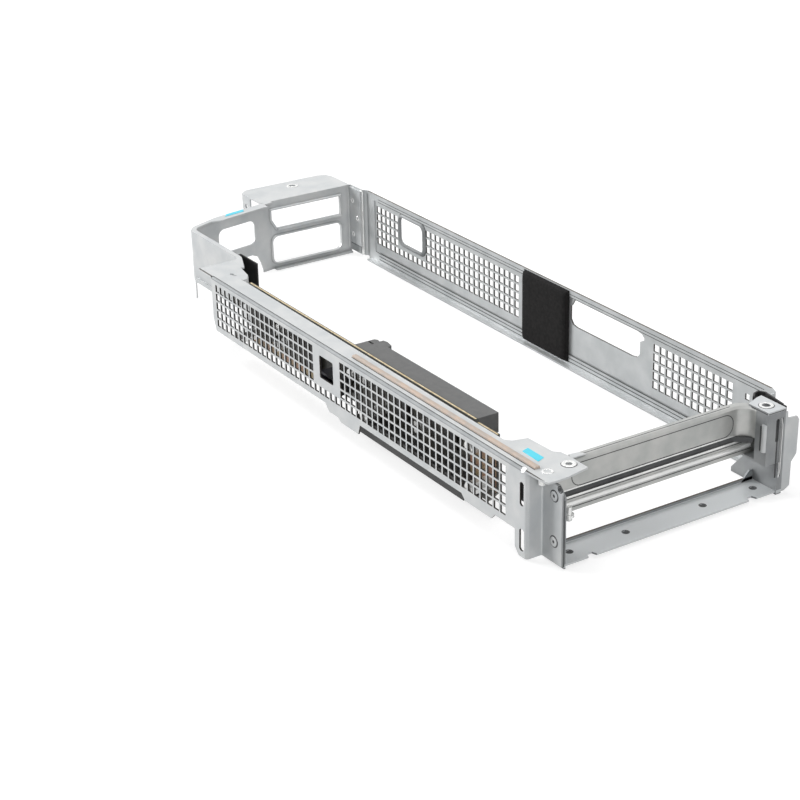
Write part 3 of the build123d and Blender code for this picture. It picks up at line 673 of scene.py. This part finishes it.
# %% Bright rings, bosses and the hanging screw
boss = [(0, 0.3), (1.0, 0.3), (1.25, 0.1), (1.25, -0.2), (0, -0.2)]
screw = [(0, 0), (1.2, 0), (1.35, 0.3), (1.35, 1.3), (2.1, 1.6)]
screw += [(2.1, 2.7), (1.2, 2.9), (1.2, 5.8), (0, 5.8)]
rings = [
    ring(plate_screw, z_axis, 1.35, 2.9, 0.45),
    ring((340.6, 6.6, top_z), z_axis, 1.5, 2.3, 0.22),
    ring(post_screw, z_axis, 1.75, 3.0, 0.3),
    ring((-16.5, 100.5, top_z), z_axis, 1.85, 3.2, 0.3),
    turned(boss, (334.0, 0.45, 37.55), z_axis - y_axis),
    turned(screw, (338.2, 18.6, 12.9), z_axis),
]
write_piece("bright_rings", join(rings), "bright_steel")
print("bright rings, bosses and screws:", len(rings))

# %% [markdown]
# ## The crossbar's folds
# Under its flat face the bar is folded into a deep dark groove, a lip, a long bead and a rounded
# foot. The groove's own depth is in the solid; a dark filler stands for the shadow inside it.
# The lip and the bead could be cut into a finer bar, but as profiles carried along it they keep
# one section from end to end. Their bright tone, and that of the line above the groove, is
# painted highlight.

# %% Groove, lip and bead
bar_start, bar_end = 9.2, 101.8
groove_floor, groove_roof = 22.1, 24.3
groove_x = 332.4
bend_outline = [(groove_x, bar_end), (336.0, bar_end), (341.6, 107.8), (groove_x, 107.8)]
groove = [
    brick((groove_x, bar_start, groove_floor), (bend_x - 0.5, bar_end, groove_roof)),
    prism(bend_outline, 2, groove_floor, groove_roof),
]
write_piece("groove_shadow", join(groove), "seam_shadow", smooth=False)
# Bright lip line, bead and line above the groove: painted highlights on the bar.
bar_lines = [
    seam([(bend_x, bar_start, 21.6), (bend_x, 114.0, 21.6)], 0.75, x_axis, height=0.12),
    bead([(bend_x, bar_start, 18.6), (bend_x, 111.0, 18.6)], 0.95, x_axis),
    seam([(bend_x, bar_start, 24.75), (bend_x, bar_end, 24.75)], 0.5, x_axis, height=0.06),
]
write_piece("bar_highlights", join(bar_lines), "bright_steel")
shoulder_outline = [(336.3, 21.0), (336.3, 27.8), (333.6, 26.2), (332.9, 22.0)]
shoulder = prism(shoulder_outline, 2, under_z, under_z + 0.5)
write_piece("bar_shoulder", shoulder, "galvanised_steel", smooth=False)
print("bar lines:", len(bar_lines))

# %% [markdown]
# ## The post
# The right post carries a spring that grounds the card's bracket, a raised louvre on its inner
# face and a small gusset on the sill. The slit in front of the spring is dark because the post
# is hollow, so a black plate and dark lines stand there as painted shade. A black arc behind the
# post's top is painted shade along the far wall's turned-in bend. Across the mouth, a short ribbed
# strip stands behind the near wall's slot. All of these are plain plates and carried profiles,
# because nothing finer would be seen at their size.

# %% Spring, and painted shade in the post's slits
spring_x = mouth_x + 0.75
spring_line = [(mouth_x, 34.0), (spring_x, 31.5), (spring_x, 11.0), (mouth_x, 8.0)]
spring_path = drawn(on_plane(1, 115.1, spring_line))
spring = carry(spring_path, flat_bar(-0.45, 0.45, -0.15, 0.1), y_axis)
write_piece(
    "grounding_spring", spring, "bright_steel", stands_for=["contact_spring"]
)
# A near-black plate and dark lines stand for the shade in the hollow post's slits and beside its
# louvre: painted shade.
post_dark = [
    brick((mouth_x - 1.4, 112.4, 23.6), (mouth_x - 0.85, 114.5, 34.4)),
    seam([(mouth_x, 113.6, 8.0), (mouth_x, 113.6, 24.0)], 0.8, x_axis),
    seam([(mouth_x, 116.1, 8.0), (mouth_x, 116.1, 34.0)], 0.4, x_axis),
    seam([(345.7, post_y, 20.2), (345.7, post_y, 31.0)], 0.9, -y_axis),
]
write_piece("post_slit_shade", join(post_dark), "seam_shadow", smooth=False)
print("dark slits:", len(post_dark))

# %% Louvre, gusset, and a painted shadow along the far wall's bend
louvre = bead([(347.9, post_y, 20.6), (347.9, post_y, 32.4)], 1.25, -y_axis)
write_piece("post_louvre", louvre, "galvanised_steel")
gusset_outline = [(108.4, sill_top), (114.6, sill_top), (114.6, 6.0), (112.8, 6.0)]
gusset = prism(gusset_outline, 0, 334.9, 335.6)
write_piece("sill_gusset", gusset, "dark_steel", smooth=False)
# A black ribbon along the far wall's turned-in bend behind the post's top: painted shade, not a
# part.
shadow_arc_points = [(334.7, 113.4), (332.3, 116.0), (331.6, 118.8)]
shadow_arc_points += [(334.2, 120.3), (340.7, 119.2), (346.6, 118.2)]
shadow_ribbon = carry(drawn(on_plane(2, top_z, shadow_arc_points)), flat_bar(-0.35, 0.35, -2.0, 0.5), z_axis)
write_piece("bend_shadow_arc", shadow_ribbon, "black_plastic", smooth=False)
print("trim faces:", made["bend_shadow_arc"])

# %% Ribbed strip behind the near wall's slot
rib_z = 24.0 + np.arange(9)
ribs = [brick((331.6, 0.85, z), (335.2, 2.0, z + 0.75)) for z in rib_z]
ribs.append(brick((331.6, 1.2, 24.0), (335.2, 1.9, 32.9)))
write_piece("slot_ribs", join(ribs), "black_plastic", smooth=False)
print("ribs:", len(rib_z))

# %% [markdown]
# ## The window frame
# The rear frame's two windows have turned-in rims, which catch a thin light along their lower
# edges. They could be drawn out of the frame's own mesh, but that mesh is the solid's and stays
# as it is, so a narrower collar than on the far wall is carried round each outline.

# %% Window rims
lower = rounded_outline(77.7, 120.2, 3.2, 18.4, 3.5)
upper = [(120.0, 33.2), (77.5, 33.2), (77.5, 28.0), (80.7, 22.6), (120.0, 22.6)]
frame_collar = np.array([(0.1, -0.7), (-0.9, -0.1), (-0.9, 0.5), (-0.4, 1.0), (0.1, 1.0)]) * mm
outlines = [drawn(on_plane(0, 0.0, outline)) for outline in (lower, upper)]
collars = [carry(outline, frame_collar, x_axis, closed=True) for outline in outlines]
write_piece("window_rims", join(collars), "galvanised_steel")
print("window rims:", len(collars))

# %% [markdown]
# ## The board's edges
# A board is a dark laminate, but its sawn edges show the pale glass fibre, and its lower rear
# edge carries copper. Seen over the near wall, the top edge is one thin light line between two
# dark gaps. A pale finish on the board's own faces would make that line too wide, so it is a
# ribbon narrower than the board.

# %% Board edges
board_y = 12.1
board_top = 37.3
step_top = board_top - 1.0
edge_runs = (((99.4, 286.0), board_top), ((287.5, 301.0), step_top))
edge_lines = [seam([(x, board_y, z) for x in ends], 0.75, z_axis) for ends, z in edge_runs]
write_piece("laminate_edge", join(edge_lines), "board_edge", smooth=False)
copper_foot = [
    brick((101.0, 11.25, 8.7), (160.0, 12.9, 11.6)),
    brick((283.0, 11.2, 11.0), (300.9, 11.35, 30.0)),
]
write_piece("copper_foot", join(copper_foot), "copper_edge", smooth=False)
print("board edges:", len(edge_lines), "copper strips:", len(copper_foot))

# %% [markdown]
# ## Soft parts
# The pad on the far wall and the strip on the near flange are foam. Foam has soft edges and a
# crowned top, so both are rebuilt as crowned surfaces with rounded shoulders, and the plain
# solids stand back for them. A power of a sine or of a coordinate gives that shoulder in one line.

# %% Foam pad
pad_x0, pad_x1 = 159.9, 195.8
pad_z0, pad_z1 = 1.6, 37.4
pad_thick = 2.5
shoulder_power = 14
u = np.linspace(-1, 1, 41)
grid_u, grid_v = np.meshgrid(u, u, indexing="ij")
crown = np.sqrt((1 - np.abs(grid_u) ** shoulder_power) * (1 - np.abs(grid_v) ** shoulder_power))
face = np.stack([
    (pad_x0 + pad_x1) / 2 + (pad_x1 - pad_x0) / 2 * grid_u,
    far_inner - pad_thick * crown,
    (pad_z0 + pad_z1) / 2 + (pad_z1 - pad_z0) / 2 * grid_v,
], 2).reshape(-1, 3)
back_face = face.copy()
back_face[:, 1] = far_inner - 0.02
print("pad stands", round(float(far_inner - face[:, 1].min()), 2), "mm off the wall")

# %% Close the pad round its edge and write it
n = len(u)
quads = grid_faces(n, n)
loop = [i * n for i in range(n)] + [(n - 1) * n + j for j in range(1, n)]
loop += [i * n + n - 1 for i in range(n - 2, -1, -1)] + [j for j in range(n - 2, 0, -1)]
walls = [(a, b, b + n * n, a + n * n) for a, b in zip(loop, loop[1:] + loop[:1])]
pad_faces = quads + [tuple(i + n * n for i in f) for f in quads] + walls
pad_points = drawn(on_far(np.concatenate([face, back_face])))
pad = write_piece(
    "felt_pad", (pad_points, pad_faces), "black_foam", stands_for=["foam_pad"]
)
print("pad faces:", made["felt_pad"])

# %% Gasket strip
half_width = 1.15
gasket_height = 0.92
soft_power = 0.35
gasket_y, gasket_z = 4.85, top_z + 0.02
a = np.linspace(0, math.pi, 11)
across = half_width * np.sign(np.cos(a)) * np.abs(np.cos(a)) ** soft_power
crowned = np.stack([across, gasket_height * np.sin(a) ** soft_power], 1)
crowned = np.concatenate([crowned, [(-half_width, 0.0), (half_width, 0.0)]]) * mm
gasket_line = drawn([(x, gasket_y, gasket_z) for x in (gasket_start, 270.0, 336.6)])
gasket = write_piece(
    "gasket", carry(gasket_line, crowned, z_axis), "tan_gasket",
    stands_for=["gasket_strip"],
)
print("pieces:", made)

# %% [markdown]
# ## Studio
# A pale floor and wide, soft lights copy a product table: the key light comes from the near side
# and the rear, a weak one from the front opens the faces that look at the camera, and one above
# lights the flanges. The floor's glow and the world's white reach only the eye and the gloss, so
# the background is white without more light on the object, and the floor keeps a shadow.

# %% A background that only the eye and the gloss see
def seen_directly(tree):
    """One where a ray is from the camera, a mirror-like bounce or clear glass, otherwise nought."""
    path = tree.nodes.new("ShaderNodeLightPath")
    value = path.outputs["Is Camera Ray"]
    for kind in ("Is Glossy Ray", "Is Transmission Ray"):
        value = math_node(tree, "MAXIMUM", value, path.outputs[kind])
    return value


full_white = (1, 1, 1, 1)
print("background colour:", full_white)

# %% Floor
floor_reach = 6.0
floor_drop = 0.4 * mm
floor_color = 0.38
floor_glow = 0.72
corners = [(x, y, 0) for x, y in rectangle(-floor_reach, floor_reach, -floor_reach, floor_reach)]
floor_mesh = bpy.data.meshes.new("studio_floor")
floor_mesh.from_pydata(corners, [], [(0, 1, 2, 3)])
floor = bpy.data.objects.new("studio_floor", floor_mesh)
floor.location = (0, 0, -floor_drop)
bpy.context.scene.collection.objects.link(floor)
tree, shader = new_material("studio_paper", (floor_color,) * 3, 0.9, specular=0.1)
shader.inputs["Emission Color"].default_value = full_white
glow = math_node(tree, "MULTIPLY", seen_directly(tree), floor_glow)
tree.links.new(glow, shader.inputs["Emission Strength"])
floor_mesh.materials.append(materials["studio_paper"])
print("floor colour", floor_color, "and glow", floor_glow)

# %% World
world_fill = 0.125
world = bpy.data.worlds.new("studio_world")
bpy.context.scene.world = world
world.use_nodes = True
tree = world.node_tree
background = tree.nodes["Background"]
background.inputs["Color"].default_value = full_white
strength = tree.nodes.new("ShaderNodeMapRange")
strength.inputs["To Min"].default_value = world_fill
strength.inputs["To Max"].default_value = 1.0
tree.links.new(seen_directly(tree), strength.inputs["Value"])
tree.links.new(strength.outputs["Result"], background.inputs["Strength"])
print("world fill:", world_fill)


# %% Lamps
def soft_lamp(name, place, target, size, power):
    """Square area lamp at a place, turned so that its light falls along the line to a target."""
    lamp = bpy.data.lights.new(name, "AREA")
    lamp.shape = "RECTANGLE"
    lamp.size = lamp.size_y = size
    lamp.energy = power
    holder = bpy.data.objects.new(name, lamp)
    bpy.context.scene.collection.objects.link(holder)
    holder.location = place
    holder.rotation_mode = "QUATERNION"
    holder.rotation_quaternion = (Vector(target) - Vector(place)).to_track_quat("-Z", "Y")


mid_height = (0, 0, 0.02)
soft_lamp("key", (-4.1, -2.9, 1.75), mid_height, 2.2, 280.0)
soft_lamp("front", (3.2, -1.0, 1.3), mid_height, 1.8, 54.0)
soft_lamp("top", (-0.20, 0.1, 1.2), (0, 0, 0), 0.9, 11.0)

# %% [markdown]
# ## Camera
# The camera stands where the photograph was taken from: its place, turn and lens came from the
# two regular fields of holes, whose lines meet at the view's vanishing points.

# %% Camera place, turn and lens
right = (0.5383, 0.842467, -0.02194)
upward = (-0.336048, 0.238449, 0.911161)
back = (0.772855, -0.483105, 0.411467)
place = (0.68063, -0.43628, 0.35122)
eye = bpy.data.cameras.new("photo_camera")
eye.sensor_width = 36.0
eye.lens = 84.89
eye.clip_start = 0.01
camera = bpy.data.objects.new("photo_camera", eye)
bpy.context.scene.collection.objects.link(camera)
rows = [[right[i], upward[i], back[i], place[i]] for i in range(3)]
camera.matrix_world = Matrix(rows + [[0, 0, 0, 1]])
bpy.context.scene.camera = camera
bpy.context.scene.view_settings.view_transform = "Standard"
print("camera at", place, "lens", eye.lens)
